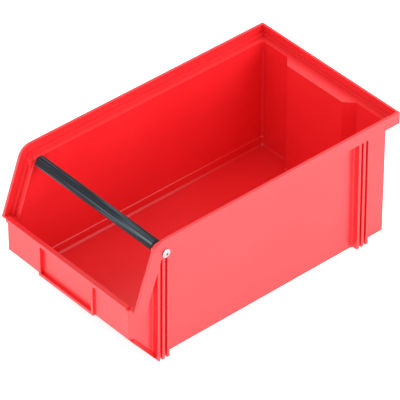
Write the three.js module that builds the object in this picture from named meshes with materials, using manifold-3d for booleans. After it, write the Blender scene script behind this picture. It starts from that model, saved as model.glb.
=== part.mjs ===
// Stackable storage bin with an open hopper front and a carry rod.
// Millimetres, +Z up. The low hopper front faces -Y, the rear lip faces +Y.
// The base stands on z = 0 and the whole bin is centred on x = 0, y = 0.
import * as THREE from 'three';
import { mergeVertices } from 'three/addons/utils/BufferGeometryUtils.js';
import Module from 'manifold-3d';

const wasm = await Module();
wasm.setup();

// ---------------------------------------------------------------- dimensions
// Depths are measured along y from the outer face of the front wall.
const WIDTH = 201;              // across the outer faces of the rim
const HEIGHT = 149;             // base to rim top
const RIM_REAR = 341;           // outer face of the rear lip
const WALL = 2.5;               // wall thickness
const SIDE_IN = 87.6;           // inner face of a side wall, from the centre plane
const REAR_IN = 330.2;          // inner face of the rear wall

// Rim: a lip, a narrow seat for the next bin's ribs, and a wider inner ledge.
const LIP_SIDE = 3;             // lip thickness along the sides
const LIP_REAR = 2.5;           // lip thickness along the rear
const SEAT_DEPTH = 8.3;         // rim top down to the stacking seat
const SEAT_SIDE = 3.5;          // seat width along the sides
const SEAT_REAR = 2.4;          // seat width along the rear
const LEDGE_DEPTH = 11.1;       // rim top down to the inner ledge
const FLANGE_DEPTH = LEDGE_DEPTH + WALL;
const RIM_CORNER_Y = 27.3;      // where the rim top would meet the slope
const RIM_CORNER_R = 16;        // rounding of that corner
const SLOPE_END_Y = 0.8;        // lower end of the sloping rim
const SLOPE_END_Z = 76.5;

// Front wall, its lip and the slanting lower front.
const FRONT_TOP = 81.5;
const FRONT_LIP_OUT = 2.2;
const FRONT_LIP_IN = 3;
const FRONT_LIP_H = 4;
const SLANT_Z = 41.9;           // where the front wall starts to slant back
const SLANT_Y = 32.8;           // where the slant reaches the base

// Floor, the plinths at the foot of the side walls and the base skirt below.
const FLOOR_TOP = 7.2;
const FLOOR_EDGE = 1.8;         // chamfer where the floor meets the walls
const PLINTH = 0.8;             // how far a plinth stands in from its side wall
const PLINTH_TOP = 18.4;
const CORNER_R = 3;             // rounding of the upright corners inside
const FOOT_H = FLOOR_TOP - WALL;

// Finger recess behind the rear wall.
const RECESS_DEPTH = 10.2;
const RECESS_HALF_IN = 40;
const RECESS_HALF_OUT = 51;

// Stacking ribs on the sides: two groups of three that spread towards the base.
const RIB_OUT = 97;
const RIB_T = 3;
const RIB_PITCH = 6;
const RIB_COUNT = 3;
const RIB_FRONT_Y = 31.1;       // first rib of the front group, at the base
const RIB_REAR_Y = 292;         // first rib of the rear group, at the base
const RIB_LEAN = 0.0095;        // how far a rib leans, per millimetre of height
const RIB_ROOT = 2.4;           // size of the fillet where a rib leaves the wall
const FILLET_BOW = 0.3;         // how near that fillet's middle comes to the corner
const EMBED = 1;                // how far a joined feature reaches into the wall

// Bead that thickens the lower front corner, beside the slanting front.
const BEAD_OUT = 4;             // out from the side wall
const BEAD_UP = 4.3;            // up the side wall, square to the slant
const BEAD_TOP = 38;

// Boss that carries the rivet, flush with the rim.
const BOSS_Y0 = 30.6;
const BOSS_Y1 = 48.4;
const BOSS_Z = 128;

// Label pocket on the front wall: a raised frame round a sunk panel.
const LABEL_HALF = 41;
const LABEL_BAR = 2.8;
const LABEL_FOOT = 41;          // lower edge of the frame
const LABEL_SILL = 44.4;        // upper edge of its bottom bar
const LABEL_SINK = 1.2;

// Carry rod and its rivets.
const ROD_Y = 39.3;
const ROD_Z = 132.95;
const ROD_R = 6.25;
const FLUTES = 16;
const FLUTE_DEPTH = 0.45;
const ROD_BORE_R = 4.3;
const ROD_GAP = 0.5;            // rod end to side wall
const CAP_R = 5.8;
const CAP_T = 1.5;
const CAP_PLUG_L = 7;
const CAP_CHAMFER = 0.4;
const GAP = 0.3;                // running and assembly clearance
const RIVET_R = 2.4;
const RIVET_HEAD_R = 4.7;
const RIVET_HEAD_H = 1.7;
const RIVET_EDGE_H = 0.8;       // straight edge of the head, below its dome
const DOME_STEPS = 4;
const RIVET_BORE_R = 1.35;
const BULB_R = 3.5;
const BULB_L = 4;
const BULB_ROUND = 0.9;         // rounding at both ends of the bulb
const MANDREL_R = 1.0;
const MANDREL_HEAD_R = 1.9;
const MANDREL_RECESS = 0.7;
const BREAK_CHAMFER = 0.3;      // at the stem's broken end

const Y_MID = (RIM_REAR - FRONT_LIP_OUT) / 2;
const SIDE_OUT = SIDE_IN + WALL;
const REAR_OUT = REAR_IN + WALL;
const HALF = WIDTH / 2;
const OVER = 12;                // how far cutting bodies run past a surface

// ------------------------------------------------------------------- helpers
const toSolid = (geometry) => {
  const g = geometry.clone();
  g.deleteAttribute('normal');
  g.deleteAttribute('uv');
  const m = mergeVertices(g, 1e-4);
  return new wasm.Manifold(new wasm.Mesh({
    numProp: 3,
    vertProperties: new Float32Array(m.attributes.position.array),
    triVerts: new Uint32Array(m.index.array),
  }));
};

const toGeometry = (solid) => {
  const mesh = solid.getMesh();
  const g = new THREE.BufferGeometry();
  g.setAttribute('position', new THREE.BufferAttribute(new Float32Array(mesh.vertProperties), 3));
  g.setIndex(new THREE.BufferAttribute(new Uint32Array(mesh.triVerts), 1));
  const flat = g.toNonIndexed();
  flat.computeVertexNormals();
  return flat;
};

const box = (x0, x1, y0, y1, z0, z1) => {
  const g = new THREE.BoxGeometry(x1 - x0, y1 - y0, z1 - z0);
  g.translate((x0 + x1) / 2, (y0 + y1) / 2, (z0 + z1) / 2);
  return toSolid(g);
};

const extrude = (points, length) => new THREE.ExtrudeGeometry(
  new THREE.Shape(points.map(([a, b]) => new THREE.Vector2(a, b))),
  { depth: length, bevelEnabled: false },
);

// A profile drawn in y and z, swept from x0 to x1.
const alongX = (points, x0, x1) => {
  const g = extrude(points, x1 - x0);
  g.applyMatrix4(new THREE.Matrix4().makeBasis(
    new THREE.Vector3(0, 1, 0),
    new THREE.Vector3(0, 0, 1),
    new THREE.Vector3(1, 0, 0),
  ));
  g.translate(x0, 0, 0);
  return toSolid(g);
};

// A plan drawn in x and y, swept from z0 to z1.
const alongZ = (points, z0, z1) => {
  const g = extrude(points, z1 - z0);
  g.translate(0, 0, z0);
  return toSolid(g);
};

const union = (solids) => solids.reduce((all, s) => all.add(s));

// The point where the edges a-b and b-c meet once both have moved inwards by d.
// The plan runs anticlockwise.
const mitre = (a, b, c, d) => {
  const before = new THREE.Vector2(b[0] - a[0], b[1] - a[1]).normalize();
  const after = new THREE.Vector2(c[0] - b[0], c[1] - b[1]).normalize();
  const lean = 1 + before.dot(after);
  return [
    b[0] - (d * (before.y + after.y)) / lean,
    b[1] + (d * (before.x + after.x)) / lean,
  ];
};

const neighbours = (plan, i) => [plan.at(i - 1), plan[i], plan[(i + 1) % plan.length]];
const insetPlan = (plan, d) => plan.map((_, i) => mitre(...neighbours(plan, i), d));

// Rounds the square corners of a plan at the given places.
const CORNER_STEPS = 4;
const roundCorners = (plan, places, r) => plan.flatMap((point, i) => {
  if (!places.includes(i)) return [point];
  const [a, b, c] = neighbours(plan, i);
  const centre = mitre(a, b, c, r);
  const start = Math.atan2(a[0] - b[0], b[1] - a[1]);
  return Array.from({ length: CORNER_STEPS + 1 }, (_, k) => {
    const angle = start + (Math.PI / 2) * (k / CORNER_STEPS);
    return [centre[0] + r * Math.cos(angle), centre[1] + r * Math.sin(angle)];
  });
});

// A solid through plans that all have the same number of points, from the
// lowest level to the highest. Each level is a height and the plan there.
const loft = (levels) => {
  const n = levels[0].plan.length;
  const top = (levels.length - 1) * n;
  const outline = levels[0].plan.map(([x, y]) => new THREE.Vector2(x, y));
  const caps = THREE.ShapeUtils.triangulateShape(outline, []);
  const index = caps.flatMap(([a, b, c]) => [a, c, b, a + top, b + top, c + top]);
  for (let start = 0; start < top; start += n) {
    for (let i = 0; i < n; i += 1) {
      const a = start + i;
      const b = start + ((i + 1) % n);
      index.push(a, b, b + n, a, b + n, a + n);
    }
  }
  const g = new THREE.BufferGeometry();
  const points = levels.flatMap(({ z, plan }) => plan.map(([x, y]) => [x, y, z]));
  g.setAttribute('position', new THREE.Float32BufferAttribute(points.flat(), 3));
  g.setIndex(index);
  return toSolid(g);
};

const mirrored = (solid) => solid.mirror([1, 0, 0]);

// A turned part: profile of [radius, x] pairs spun about the rod axis.
const turned = (profile, segments) => {
  const g = new THREE.LatheGeometry(profile.map(([r, x]) => new THREE.Vector2(r, x)), segments);
  g.rotateZ(-Math.PI / 2);
  const solid = toSolid(g);
  return solid.translate([0, ROD_Y, ROD_Z]);
};

// ------------------------------------------------------- sloping rim outline
const slopeLen = Math.hypot(RIM_CORNER_Y - SLOPE_END_Y, HEIGHT - SLOPE_END_Z);
const SLOPE = [(SLOPE_END_Y - RIM_CORNER_Y) / slopeLen, (SLOPE_END_Z - HEIGHT) / slopeLen];
const INWARD = [-SLOPE[1], SLOPE[0]];
const TURN = Math.PI / 2 - Math.atan2(-SLOPE[0], -SLOPE[1]);
const ARC_STEPS = 10;

// Rim line sunk by `depth`, from the rear at y = rear to the slope's lower end.
const rimLine = (depth, rear, shorten = 0) => {
  const r = Math.max(RIM_CORNER_R - depth, 1);
  const tangent = r * Math.tan(TURN / 2);
  const cornerY = RIM_CORNER_Y + depth * Math.tan(TURN / 2);
  const centre = [cornerY + tangent, HEIGHT - depth - r];
  const line = [[rear, HEIGHT - depth]];
  for (let i = 0; i <= ARC_STEPS; i += 1) {
    const a = Math.PI / 2 + (TURN * i) / ARC_STEPS;
    line.push([centre[0] + r * Math.cos(a), centre[1] + r * Math.sin(a)]);
  }
  line.push([
    SLOPE_END_Y + depth * INWARD[0] - shorten * SLOPE[0],
    SLOPE_END_Z + depth * INWARD[1] - shorten * SLOPE[1],
  ]);
  return line;
};

// Everything above the rim line sunk by `depth`: cuts the inside of the rim.
const aboveRim = (depth, rear) => [
  ...rimLine(depth, rear, WALL),
  [-OVER, SLOPE_END_Z - OVER * INWARD[1] + WALL],
  [-OVER, HEIGHT + OVER],
  [rear, HEIGHT + OVER],
];

// ------------------------------------------------------------------ bin body
const flange = alongX([
  ...rimLine(0, RIM_REAR),
  ...rimLine(FLANGE_DEPTH, RIM_REAR).reverse(),
], -HALF, HALF);

const slopeFoot = SLOPE_END_Z + (SLOPE_END_Y * SLOPE[1]) / -SLOPE[0];
const walls = alongX([
  ...rimLine(0, REAR_OUT),
  [0, slopeFoot],
  [0, SLANT_Z],
  [SLANT_Y, 0],
  [REAR_OUT, 0],
], -SIDE_OUT, SIDE_OUT);

const lipHalf = HALF - LIP_SIDE;
const lipRear = RIM_REAR - LIP_REAR;
const lipCut = alongX(aboveRim(SEAT_DEPTH, lipRear), -lipHalf, lipHalf);
const seatHalf = lipHalf - SEAT_SIDE;
const seatCut = alongX(aboveRim(LEDGE_DEPTH, lipRear - SEAT_REAR), -seatHalf, seatHalf);

// Inside of the walls in plan. It runs out past the front, where the slanting
// front wall closes it, and steps in round the finger recess.
const ledgeTop = HEIGHT - LEDGE_DEPTH;
const recessFace = REAR_IN - RECESS_DEPTH;
const insidePlan = (half) => [
  [-half, -OVER],
  [half, -OVER],
  [half, REAR_IN],
  [RECESS_HALF_OUT, REAR_IN],
  [RECESS_HALF_IN, recessFace],
  [-RECESS_HALF_IN, recessFace],
  [-RECESS_HALF_OUT, REAR_IN],
  [-half, REAR_IN],
];
const rearCorners = [2, 7];
const wallPlan = roundCorners(insidePlan(SIDE_IN), rearCorners, CORNER_R);
const betweenPlinths = insidePlan(SIDE_IN - PLINTH);
const plinthPlan = roundCorners(betweenPlinths, rearCorners, CORNER_R);
const floorPlan = roundCorners(
  insetPlan(betweenPlinths, FLOOR_EDGE),
  rearCorners,
  CORNER_R - FLOOR_EDGE,
);

// A profile line that keeps the wall thickness behind the slanting front.
const slantFall = SLANT_Z / SLANT_Y;
const slantStep = WALL * Math.hypot(1, 1 / slantFall);
const slantInside = (z) => Math.max(WALL, (SLANT_Z - z) / slantFall + slantStep);
const behindFront = (zLow, zHigh) => {
  const bend = SLANT_Z - (WALL - slantStep) * slantFall;
  const front = zHigh > bend ? [[WALL, zHigh], [WALL, bend]] : [[slantInside(zHigh), zHigh]];
  return alongX([
    ...front,
    [slantInside(zLow), zLow],
    [REAR_IN + OVER, zLow],
    [REAR_IN + OVER, zHigh],
  ], -HALF, HALF);
};

const interior = union([
  box(-SIDE_IN, SIDE_IN, -OVER, REAR_IN, ledgeTop, HEIGHT + OVER),
  loft([
    { z: FLOOR_TOP, plan: floorPlan },
    { z: FLOOR_TOP + FLOOR_EDGE, plan: plinthPlan },
    { z: PLINTH_TOP - PLINTH, plan: plinthPlan },
    { z: PLINTH_TOP, plan: wallPlan },
    { z: ledgeTop, plan: wallPlan },
  ]),
]).intersect(behindFront(FLOOR_TOP, HEIGHT + OVER));

// The same outline, hollowed from below, leaves a skirt one wall thick.
const baseCut = alongZ(insidePlan(SIDE_IN), -OVER, FOOT_H)
  .intersect(behindFront(-OVER, FOOT_H));

const recessCut = alongZ([
  [-RECESS_HALF_OUT + WALL, REAR_OUT + EMBED],
  [-RECESS_HALF_IN + WALL, recessFace + WALL],
  [RECESS_HALF_IN - WALL, recessFace + WALL],
  [RECESS_HALF_OUT - WALL, REAR_OUT + EMBED],
], -OVER, HEIGHT - FLANGE_DEPTH);

const frontWall = box(-SIDE_OUT, SIDE_OUT, 0, WALL, SLANT_Z, FRONT_TOP - EMBED);
const frontLip = box(
  -SIDE_OUT,
  SIDE_OUT,
  -FRONT_LIP_OUT,
  FRONT_LIP_IN,
  FRONT_TOP - FRONT_LIP_H,
  FRONT_TOP,
);

const pocketHalf = LABEL_HALF - LABEL_BAR;
const pocketTop = FRONT_TOP - FRONT_LIP_H;
const labelBar = (x0, x1, top) => box(x0, x1, -FRONT_LIP_OUT, EMBED, LABEL_FOOT, top);
const labelFrame = [
  labelBar(-LABEL_HALF, -pocketHalf, pocketTop + EMBED),
  labelBar(pocketHalf, LABEL_HALF, pocketTop + EMBED),
  labelBar(-LABEL_HALF, LABEL_HALF, LABEL_SILL),
];
const labelCut = box(-pocketHalf, pocketHalf, -OVER, LABEL_SINK, LABEL_SILL, pocketTop);

// One stacking rib of the right side, with a fillet where it leaves the wall.
const rib = (y0, top, lean) => {
  const root = SIDE_OUT - EMBED;
  const bow = RIB_ROOT * FILLET_BOW;
  const plan = [
    [root, y0 - RIB_ROOT],
    [SIDE_OUT, y0 - RIB_ROOT],
    [SIDE_OUT + bow, y0 - bow],
    [SIDE_OUT + RIB_ROOT, y0],
    [RIB_OUT, y0],
    [RIB_OUT, y0 + RIB_T],
    [root, y0 + RIB_T],
  ];
  return alongZ(plan, 0, top).transform([1, 0, 0, 0, 0, 1, 0, 0, 0, lean, 1, 0, 0, 0, 0, 1]);
};

const flangeUnder = HEIGHT - FLANGE_DEPTH;
const ribs = Array.from({ length: RIB_COUNT }, (_, i) => [
  rib(RIB_FRONT_Y + i * RIB_PITCH, BOSS_Z + EMBED, RIB_LEAN),
  rib(RIB_REAR_Y + i * RIB_PITCH, flangeUnder + EMBED, -RIB_LEAN),
]).flat();
const boss = box(SIDE_OUT - EMBED, HALF, BOSS_Y0, BOSS_Y1, BOSS_Z, flangeUnder + EMBED);

// The bead's section, drawn outwards and square to the slant, runs up the slant.
const bead = () => {
  const slantLen = Math.hypot(SLANT_Y, SLANT_Z);
  const upSlant = new THREE.Vector3(0, -SLANT_Y / slantLen, SLANT_Z / slantLen);
  const intoBin = new THREE.Vector3(0, SLANT_Z / slantLen, SLANT_Y / slantLen);
  const g = extrude([
    [SIDE_OUT - EMBED, -EMBED],
    [SIDE_OUT + BEAD_OUT * (1 + EMBED / BEAD_UP), -EMBED],
    [SIDE_OUT, BEAD_UP],
    [SIDE_OUT - EMBED, BEAD_UP],
  ], slantLen + 2 * OVER);
  g.translate(0, 0, -OVER);
  g.applyMatrix4(new THREE.Matrix4().makeBasis(new THREE.Vector3(1, 0, 0), intoBin, upSlant));
  g.translate(0, SLANT_Y, 0);
  return toSolid(g).intersect(box(0, HALF, -OVER, RIB_FRONT_Y + RIB_T, 0, BEAD_TOP));
};

// Everything in front of the slanting front, extended past both its ends.
const aheadOfSlant = alongX([
  [-OVER, -OVER],
  [SLANT_Y + OVER / slantFall, -OVER],
  [-OVER, SLANT_Z + OVER * slantFall],
], 0, HALF);
const rightSide = union([...ribs, boss, bead()]).subtract(aheadOfSlant);

const BORE_SEGMENTS = 32;
const rivetBore = turned([
  [0, -HALF - OVER],
  [RIVET_R + GAP, -HALF - OVER],
  [RIVET_R + GAP, HALF + OVER],
  [0, HALF + OVER],
], BORE_SEGMENTS);

const shell = union([flange, walls])
  .subtract(lipCut)
  .subtract(seatCut)
  .subtract(interior);
const binSolid = union([shell, frontWall, frontLip, ...labelFrame, rightSide, mirrored(rightSide)])
  .subtract(labelCut)
  .subtract(recessCut)
  .subtract(baseCut)
  .subtract(rivetBore);

// ----------------------------------------------------------------- carry rod
const rodEnd = SIDE_IN - ROD_GAP;
const tubeEnd = rodEnd - CAP_T;
const FLUTE_STEPS = 6;
const rodOutline = Array.from({ length: FLUTES * FLUTE_STEPS }, (_, i) => {
  const a = (2 * Math.PI * i) / (FLUTES * FLUTE_STEPS);
  const wave = 0.5 + 0.5 * Math.cos(a * FLUTES);
  const r = ROD_R - FLUTE_DEPTH * (1 - wave) ** 2;
  return [ROD_Y + r * Math.cos(a), ROD_Z + r * Math.sin(a)];
});
const rodBore = turned([
  [0, -HALF],
  [ROD_BORE_R, -HALF],
  [ROD_BORE_R, HALF],
  [0, HALF],
], BORE_SEGMENTS);
const rodSolid = alongX(rodOutline, -tubeEnd + GAP, tubeEnd - GAP).subtract(rodBore);

// End cap: a thin flange outside the tube and a plug inside it.
const ROUND_SEGMENTS = 48;
const capProfile = [
  [RIVET_R + GAP, tubeEnd - CAP_PLUG_L],
  [ROD_BORE_R - GAP, tubeEnd - CAP_PLUG_L],
  [ROD_BORE_R - GAP, tubeEnd],
  [CAP_R, tubeEnd],
  [CAP_R, rodEnd - CAP_CHAMFER],
  [CAP_R - CAP_CHAMFER, rodEnd],
  [RIVET_R + GAP, rodEnd],
  [RIVET_R + GAP, tubeEnd - CAP_PLUG_L],
];

// Blind rivet: domed head outside, expanded end behind the plug, hollow core.
const seatX = HALF + GAP;
const bulbX = tubeEnd - CAP_PLUG_L - GAP;
const dome = Array.from({ length: DOME_STEPS + 1 }, (_, i) => {
  const t = i / DOME_STEPS;
  const r = RIVET_HEAD_R - (RIVET_HEAD_R - RIVET_BORE_R) * t;
  const rise = (RIVET_HEAD_H - RIVET_EDGE_H) * (1 - (1 - t) ** 2);
  return [r, seatX + RIVET_EDGE_H + rise];
});
const rivetProfile = [
  [RIVET_BORE_R, bulbX - BULB_L],
  [BULB_R - BULB_ROUND, bulbX - BULB_L],
  [BULB_R, bulbX - BULB_L + BULB_ROUND],
  [BULB_R, bulbX - BULB_ROUND],
  [BULB_R - BULB_ROUND, bulbX],
  [RIVET_R, bulbX],
  [RIVET_R, seatX],
  [RIVET_HEAD_R, seatX],
  ...dome,
  [RIVET_BORE_R, bulbX - BULB_L],
];

// What is left of the pulling stem: a ball end inside, a broken stem outside.
const stemIn = bulbX - BULB_L - GAP;
const stemOut = seatX + RIVET_HEAD_H - MANDREL_RECESS;
const BALL_STEPS = 6;
const ballAngle = Math.PI - Math.asin(MANDREL_R / MANDREL_HEAD_R);
const ballCentre = stemIn + MANDREL_HEAD_R * Math.cos(ballAngle);
const ball = Array.from({ length: BALL_STEPS + 1 }, (_, i) => {
  const a = (ballAngle * i) / BALL_STEPS;
  return [MANDREL_HEAD_R * Math.sin(a), ballCentre - MANDREL_HEAD_R * Math.cos(a)];
});
const mandrelProfile = [
  ...ball,
  [MANDREL_R, stemOut - BREAK_CHAMFER],
  [MANDREL_R - BREAK_CHAMFER, stemOut],
  [0, stemOut],
];

// ---------------------------------------------------------------- the object
const bin = new THREE.Group();
bin.name = 'stackable_storage_bin';

const addPart = (name, solid, color, roughness, metalness) => {
  const geometry = toGeometry(solid);
  geometry.translate(0, -Y_MID, 0);
  const material = new THREE.MeshStandardMaterial({ color, roughness, metalness });
  material.name = name;
  const mesh = new THREE.Mesh(geometry, material);
  mesh.name = name;
  bin.add(mesh);
};

const RED = 0xdc1f26;
const ROD_BLACK = 0x20282e;
const CAP_BLACK = 0x16191c;
const ALUMINIUM = 0xd9dbdd;
const STEEL = 0x8f9396;

const capSolid = turned(capProfile, ROUND_SEGMENTS);
const rivetSolid = turned(rivetProfile, ROUND_SEGMENTS);
const mandrelSolid = turned(mandrelProfile, BORE_SEGMENTS);

addPart('bin_body', binSolid, RED, 0.42, 0);
addPart('carry_rod', rodSolid, ROD_BLACK, 0.5, 0);
addPart('rod_cap_right', capSolid, CAP_BLACK, 0.55, 0);
addPart('rod_cap_left', mirrored(capSolid), CAP_BLACK, 0.55, 0);
addPart('rivet_right', rivetSolid, ALUMINIUM, 0.3, 1);
addPart('rivet_left', mirrored(rivetSolid), ALUMINIUM, 0.3, 1);
addPart('mandrel_right', mandrelSolid, STEEL, 0.4, 1);
addPart('mandrel_left', mirrored(mandrelSolid), STEEL, 0.4, 1);

export default bin;
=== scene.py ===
"""Looks of the stackable storage bin: a red moulded bin with a dark carry rod riveted across its mouth."""
import math

import bmesh
import bpy
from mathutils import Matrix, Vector


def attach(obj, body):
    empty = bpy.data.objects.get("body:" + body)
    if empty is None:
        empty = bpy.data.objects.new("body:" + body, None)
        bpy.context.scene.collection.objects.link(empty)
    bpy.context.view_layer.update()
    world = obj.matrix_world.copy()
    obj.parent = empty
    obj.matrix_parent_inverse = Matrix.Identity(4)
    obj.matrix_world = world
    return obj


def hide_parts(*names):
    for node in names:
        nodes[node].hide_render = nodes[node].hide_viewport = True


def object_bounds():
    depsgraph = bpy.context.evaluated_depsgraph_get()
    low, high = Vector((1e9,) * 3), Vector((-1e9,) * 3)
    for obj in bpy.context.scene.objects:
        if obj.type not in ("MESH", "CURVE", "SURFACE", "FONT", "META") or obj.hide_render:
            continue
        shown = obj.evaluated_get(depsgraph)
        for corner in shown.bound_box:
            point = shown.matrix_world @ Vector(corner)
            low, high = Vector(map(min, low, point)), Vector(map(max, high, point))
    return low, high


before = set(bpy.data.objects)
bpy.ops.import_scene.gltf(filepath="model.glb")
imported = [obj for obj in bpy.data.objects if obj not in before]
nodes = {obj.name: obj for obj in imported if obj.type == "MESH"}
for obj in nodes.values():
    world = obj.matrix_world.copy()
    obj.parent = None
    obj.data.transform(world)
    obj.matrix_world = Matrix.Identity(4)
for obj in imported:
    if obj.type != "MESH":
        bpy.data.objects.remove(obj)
cad_low, cad_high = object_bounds()

MM = 0.001

# Places of the colour sockets on a Mix node, which has one set per data type.
MIX_FACTOR, MIX_FIRST, MIX_SECOND, MIX_RESULT = 0, 6, 7, 2
SHADER_SAMPLES = 6

RED_DEEP = (0.86, 0.016, 0.022)
RED_LIGHT = (0.90, 0.020, 0.026)
# Paler red for edges: partly scuffed wear, partly a painted highlight where the edges catch the light.
RED_WORN_AND_HIGHLIGHT = (0.92, 0.11, 0.10)
# Darkened red painted into grooves and corners as shade.
RED_PAINTED_SHADE = (0.42, 0.006, 0.010)
BLACK_WORN = (0.16, 0.18, 0.19)
# Near-black painted into the black parts' recesses as shade.
BLACK_PAINTED_SHADE = (0.004, 0.006, 0.009)


# ---------------------------------------------------------------- materials
def new_material(name):
    """A material with only its Principled shader, and its node tree."""
    material = bpy.data.materials.new(name)
    material.use_nodes = True
    tree = material.node_tree
    return material, tree, tree.nodes["Principled BSDF"]


def add(tree, kind, **settings):
    """A node of that kind with its properties set."""
    node = tree.nodes.new(kind)
    for key, value in settings.items():
        setattr(node, key, value)
    return node


def noise(tree, coords, size, detail=2.0, roughness=0.5):
    """Noise whose blotches are about `size` metres across."""
    node = add(tree, "ShaderNodeTexNoise")
    node.inputs["Scale"].default_value = 1 / size
    node.inputs["Detail"].default_value = detail
    node.inputs["Roughness"].default_value = roughness
    tree.links.new(coords, node.inputs["Vector"])
    return node.outputs["Fac"]


def spread(tree, value, low, high, to_low, to_high):
    """Maps a value from one range to another and holds it there."""
    node = add(tree, "ShaderNodeMapRange")
    for key, number in zip(("From Min", "From Max", "To Min", "To Max"), (low, high, to_low, to_high)):
        node.inputs[key].default_value = number
    tree.links.new(value, node.inputs["Value"])
    return node.outputs["Result"]


def mix(tree, factor, first, second):
    """Mixes two colours by a factor socket; each colour is a socket or an RGB triple."""
    node = add(tree, "ShaderNodeMix", data_type="RGBA")
    tree.links.new(factor, node.inputs[MIX_FACTOR])
    for socket, colour in ((node.inputs[MIX_FIRST], first), (node.inputs[MIX_SECOND], second)):
        if isinstance(colour, tuple):
            socket.default_value = (*colour, 1)
        else:
            tree.links.new(colour, socket)
    return node.outputs[MIX_RESULT]


def bump(tree, height, distance, strength):
    """A normal raised and lowered by a height, `distance` metres at the most."""
    node = add(tree, "ShaderNodeBump")
    node.inputs["Distance"].default_value = distance
    node.inputs["Strength"].default_value = strength
    tree.links.new(height, node.inputs["Height"])
    return node.outputs["Normal"]


def object_coords(tree, stretch=(1, 1, 1)):
    """Coordinates fixed to the object, scaled along each axis."""
    coords = add(tree, "ShaderNodeTexCoord").outputs["Object"]
    mapping = add(tree, "ShaderNodeMapping")
    mapping.inputs["Scale"].default_value = stretch
    tree.links.new(coords, mapping.inputs["Vector"])
    return mapping.outputs["Vector"]


def edges(tree, radius, low, high):
    """1 on outer and inner edges, 0 on open faces.

    It is how far the rounded normal leans from the face's own.
    """
    rounded = add(tree, "ShaderNodeBevel", samples=SHADER_SAMPLES)
    rounded.inputs["Radius"].default_value = radius
    own = add(tree, "ShaderNodeNewGeometry").outputs["Normal"]
    dot = add(tree, "ShaderNodeVectorMath", operation="DOT_PRODUCT")
    tree.links.new(rounded.outputs["Normal"], dot.inputs[0])
    tree.links.new(own, dot.inputs[1])
    return spread(tree, dot.outputs["Value"], low, high, 1, 0)


def recess(tree, reach, full):
    """1 deep in a groove or corner, 0 on an open face."""
    shade = add(tree, "ShaderNodeAmbientOcclusion", samples=SHADER_SAMPLES, only_local=True)
    shade.inputs["Distance"].default_value = reach
    return spread(tree, shade.outputs["AO"], full, 0.95, 1, 0)


def product(tree, first, second):
    """Two factors multiplied; each is a socket or a number."""
    node = add(tree, "ShaderNodeMath", operation="MULTIPLY")
    for socket, value in zip(node.inputs, (first, second)):
        if isinstance(value, (int, float)):
            socket.default_value = value
        else:
            tree.links.new(value, socket)
    return node.outputs[0]


def bin_plastic():
    """Red polypropylene: slight flow marks, a fine grain, edges paler as scuffed wear and as a painted
    highlight, and painted shade darkening its grooves.
    """
    material, tree, shader = new_material("bin_plastic_look")
    coords = object_coords(tree)
    flow = noise(tree, coords, 90 * MM, 3)
    grain = noise(tree, coords, 1.1 * MM, 3)
    scuff = noise(tree, coords, 9 * MM, 4, 0.65)
    tint = mix(tree, spread(tree, flow, 0.35, 0.65, 0, 1), RED_DEEP, RED_LIGHT)
    # Painted shade: a mask that is 1 deep in grooves and corners, where shade falls.
    painted_shade = recess(tree, 6 * MM, 0.3)
    # Edges made paler: partly scuffed wear, partly a painted highlight on the rounded edges.
    wear_and_highlight = product(tree, edges(tree, 0.7 * MM, 0.8, 0.99), spread(tree, scuff, 0.35, 0.6, 0.15, 0.4))
    wear_and_highlight = product(tree, wear_and_highlight, spread(tree, painted_shade, 0, 0.2, 1, 0))
    tint = mix(tree, wear_and_highlight, tint, RED_WORN_AND_HIGHLIGHT)
    # Painted shade: grooves and corners darkened toward the shaded red.
    tint = mix(tree, product(tree, painted_shade, 0.3), tint, RED_PAINTED_SHADE)
    tree.links.new(tint, shader.inputs["Base Color"])
    tree.links.new(spread(tree, grain, 0.3, 0.7, 0.30, 0.38), shader.inputs["Roughness"])
    tree.links.new(bump(tree, grain, 0.02 * MM, 0.5), shader.inputs["Normal"])
    shader.inputs["Specular IOR Level"].default_value = 0.6
    shader.inputs["IOR"].default_value = 1.55
    return material


def black_plastic(name, dark, pale, stretch):
    """Slate black plastic with long pale streaks painted in as highlights, paler where its edges are rubbed,
    and painted shade in its recesses.
    """
    material, tree, shader = new_material(name)
    coords = object_coords(tree, stretch)
    # Painted highlight: long pale streaks along the rod stand in for light glancing off it.
    highlight_streak = noise(tree, coords, 2.4 * MM, 2)
    grain = noise(tree, object_coords(tree), 0.5 * MM, 2)
    tint = mix(tree, spread(tree, highlight_streak, 0.5, 0.68, 0, 1), dark, pale)
    rubbed = product(tree, edges(tree, 0.5 * MM, 0.7, 0.98), 0.35)
    tint = mix(tree, rubbed, tint, BLACK_WORN)
    # Painted shade: recesses darkened toward near-black.
    tint = mix(tree, product(tree, recess(tree, 1.5 * MM, 0.4), 0.8), tint, BLACK_PAINTED_SHADE)
    tree.links.new(tint, shader.inputs["Base Color"])
    tree.links.new(spread(tree, highlight_streak, 0.3, 0.7, 0.30, 0.42), shader.inputs["Roughness"])
    tree.links.new(bump(tree, grain, 0.01 * MM, 0.4), shader.inputs["Normal"])
    shader.inputs["Specular IOR Level"].default_value = 0.22
    return material


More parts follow.
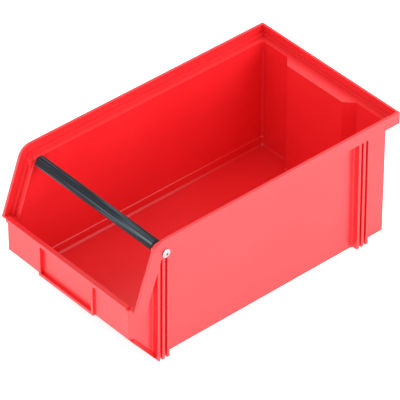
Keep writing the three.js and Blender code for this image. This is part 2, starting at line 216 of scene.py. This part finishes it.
def metal(name, colour, roughness):
    """Bare metal with fine tool marks, and painted shade darkening its edges and the spots where it is tucked
    in.
    """
    material, tree, shader = new_material(name)
    coords = object_coords(tree)
    fine = noise(tree, coords, 0.6 * MM, 3)
    darker = tuple(c * 0.85 for c in colour)
    # Dark tone for painted shade on edges and in tucked-in spots.
    painted_shade = tuple(c * 0.2 for c in colour)
    tint = mix(tree, fine, darker, colour)
    # Painted shade: edges darkened, standing in for the shaded side of the rivet head.
    tint = mix(tree, product(tree, edges(tree, 0.9 * MM, 0.7, 0.98), 0.6), tint, painted_shade)
    # Painted shade: tucked-in spots darkened.
    tint = mix(tree, product(tree, recess(tree, 1.2 * MM, 0.5), 0.5), tint, painted_shade)
    tree.links.new(tint, shader.inputs["Base Color"])
    tree.links.new(spread(tree, fine, 0.3, 0.7, roughness * 0.8, roughness * 1.2), shader.inputs["Roughness"])
    tree.links.new(bump(tree, fine, 0.02 * MM, 0.4), shader.inputs["Normal"])
    shader.inputs["Metallic"].default_value = 1
    return material


def dress(piece, material):
    """Gives the piece that one material."""
    piece.data.materials.clear()
    piece.data.materials.append(material)


# ------------------------------------------------------------------- pieces
WELD = 0.002 * MM
FLAT_ANGLE = math.radians(0.05)
SHARP_ANGLE = math.radians(25)
FULL_WEIGHT = 100
EDGE_ROUND = 0.45 * MM
EDGE_SEGMENTS = 2


def softened(node, name, width, segments):
    """A copy of a moulded CAD node, its flat faces joined and its sharp edges rounded."""
    mesh = nodes[node].data.copy()
    mesh.name = name
    work = bmesh.new()
    work.from_mesh(mesh)
    bmesh.ops.remove_doubles(work, verts=work.verts, dist=WELD)
    bmesh.ops.dissolve_limit(
        work, angle_limit=FLAT_ANGLE, verts=work.verts, edges=work.edges
    )
    work.to_mesh(mesh)
    work.free()
    piece = bpy.data.objects.new(name, mesh)
    bpy.context.scene.collection.objects.link(piece)
    rounding = piece.modifiers.new("edges", "BEVEL")
    rounding.width = width
    rounding.segments = segments
    rounding.limit_method = "ANGLE"
    rounding.angle_limit = SHARP_ANGLE
    mesh.shade_smooth()
    flats = piece.modifiers.new("flats", "WEIGHTED_NORMAL")
    flats.mode = "FACE_AREA"
    flats.weight = FULL_WEIGHT
    flats.keep_sharp = True
    return piece


RED = bin_plastic()
# The pale colour is the painted highlight of the streaks.
ROD = black_plastic(
    "rod_plastic_look",
    dark=(0.003, 0.008, 0.015),
    pale=(0.13, 0.17, 0.20),
    stretch=(0.02, 1, 1),
)
CAP = black_plastic(
    "cap_plastic_look",
    dark=(0.008, 0.010, 0.013),
    pale=(0.016, 0.019, 0.022),
    stretch=(1, 1, 1),
)
RIVET = metal("rivet_metal_look", (0.5, 0.51, 0.54), 0.36)
STEM = metal("mandrel_metal_look", (0.6, 0.62, 0.64), 0.4)

body = softened("bin_body", "bin_moulding", EDGE_ROUND, EDGE_SEGMENTS)
dress(body, RED)
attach(body, "bin")
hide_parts("bin_body")

dress(nodes["carry_rod"], ROD)
for side in ("right", "left"):
    dress(nodes[f"rod_cap_{side}"], CAP)
    dress(nodes[f"rivet_{side}"], RIVET)
    dress(nodes[f"mandrel_{side}"], STEM)

# -------------------------------------------------------------------- stage
FLOOR_HALF = 12.0
FLOOR_GLOW = 0.65
FLOOR_DROP = 0.2 * MM


def make_floor():
    """A plain pale floor that glows a little, just below the base."""
    work = bmesh.new()
    bmesh.ops.create_grid(work, x_segments=4, y_segments=4, size=FLOOR_HALF)
    mesh = bpy.data.meshes.new("floor")
    work.to_mesh(mesh)
    work.free()
    floor = bpy.data.objects.new("floor", mesh)
    floor.location.z = cad_low.z - FLOOR_DROP
    bpy.context.scene.collection.objects.link(floor)
    material, tree, shader = new_material("floor_look")
    shader.inputs["Base Color"].default_value = (0.9, 0.9, 0.9, 1)
    shader.inputs["Roughness"].default_value = 0.9
    shader.inputs["Emission Color"].default_value = (1, 1, 1, 1)
    shader.inputs["Emission Strength"].default_value = FLOOR_GLOW
    dress(floor, material)
    return floor


make_floor()


def softbox(name, azimuth, elevation, distance, width, height, power):
    """An area light that faces the bin.

    Azimuth 0 stands in front of the hopper mouth and 90 at the right side; both angles in degrees.
    """
    light = bpy.data.lights.new(name, "AREA")
    light.shape = "RECTANGLE"
    light.size = width
    light.size_y = height
    light.energy = power
    lamp = bpy.data.objects.new(name, light)
    a, e = math.radians(azimuth), math.radians(elevation)
    way = Vector((math.sin(a) * math.cos(e), -math.cos(a) * math.cos(e), math.sin(e)))
    target = (cad_low + cad_high) / 2
    lamp.location = target + way * distance
    lamp.rotation_euler = (-way).to_track_quat("-Z", "Z").to_euler()
    lamp.visible_camera = False
    bpy.context.scene.collection.objects.link(lamp)
    return lamp


SOFTBOX = {"elevation": 16, "distance": 2.4, "width": 1.8, "height": 1.4}
softbox("softbox_front", azimuth=-25, power=9, **SOFTBOX)
softbox("softbox_right", azimuth=112, power=40, **SOFTBOX)

world = bpy.data.worlds.new("studio")
bpy.context.scene.world = world
world.use_nodes = True
background = world.node_tree.nodes["Background"]
background.inputs["Color"].default_value = (1, 1, 1, 1)
background.inputs["Strength"].default_value = 1.0
bpy.context.scene.view_settings.view_transform = "Standard"

# ------------------------------------------------------------------- camera
# An ordinary camera with no lens shift, so it behaves the same in every view.
CAMERA_AZIMUTH = math.radians(48.9)
CAMERA_ELEVATION = math.radians(38.3)
CAMERA_DISTANCE = 3.57
CAMERA_AIM = Vector((0, 0, 0.069))
LENS = 327
SENSOR = 36
CLIP = (0.1, 60)

camera = bpy.data.objects.new("camera", bpy.data.cameras.new("camera"))
bpy.context.scene.collection.objects.link(camera)
back = Vector((
    math.sin(CAMERA_AZIMUTH) * math.cos(CAMERA_ELEVATION),
    -math.cos(CAMERA_AZIMUTH) * math.cos(CAMERA_ELEVATION),
    math.sin(CAMERA_ELEVATION),
))
camera.location = CAMERA_AIM + back * CAMERA_DISTANCE
camera.rotation_euler = (-back).to_track_quat("-Z", "Y").to_euler()
camera.data.lens = LENS
camera.data.sensor_width = SENSOR
camera.data.clip_start, camera.data.clip_end = CLIP
bpy.context.scene.camera = camera
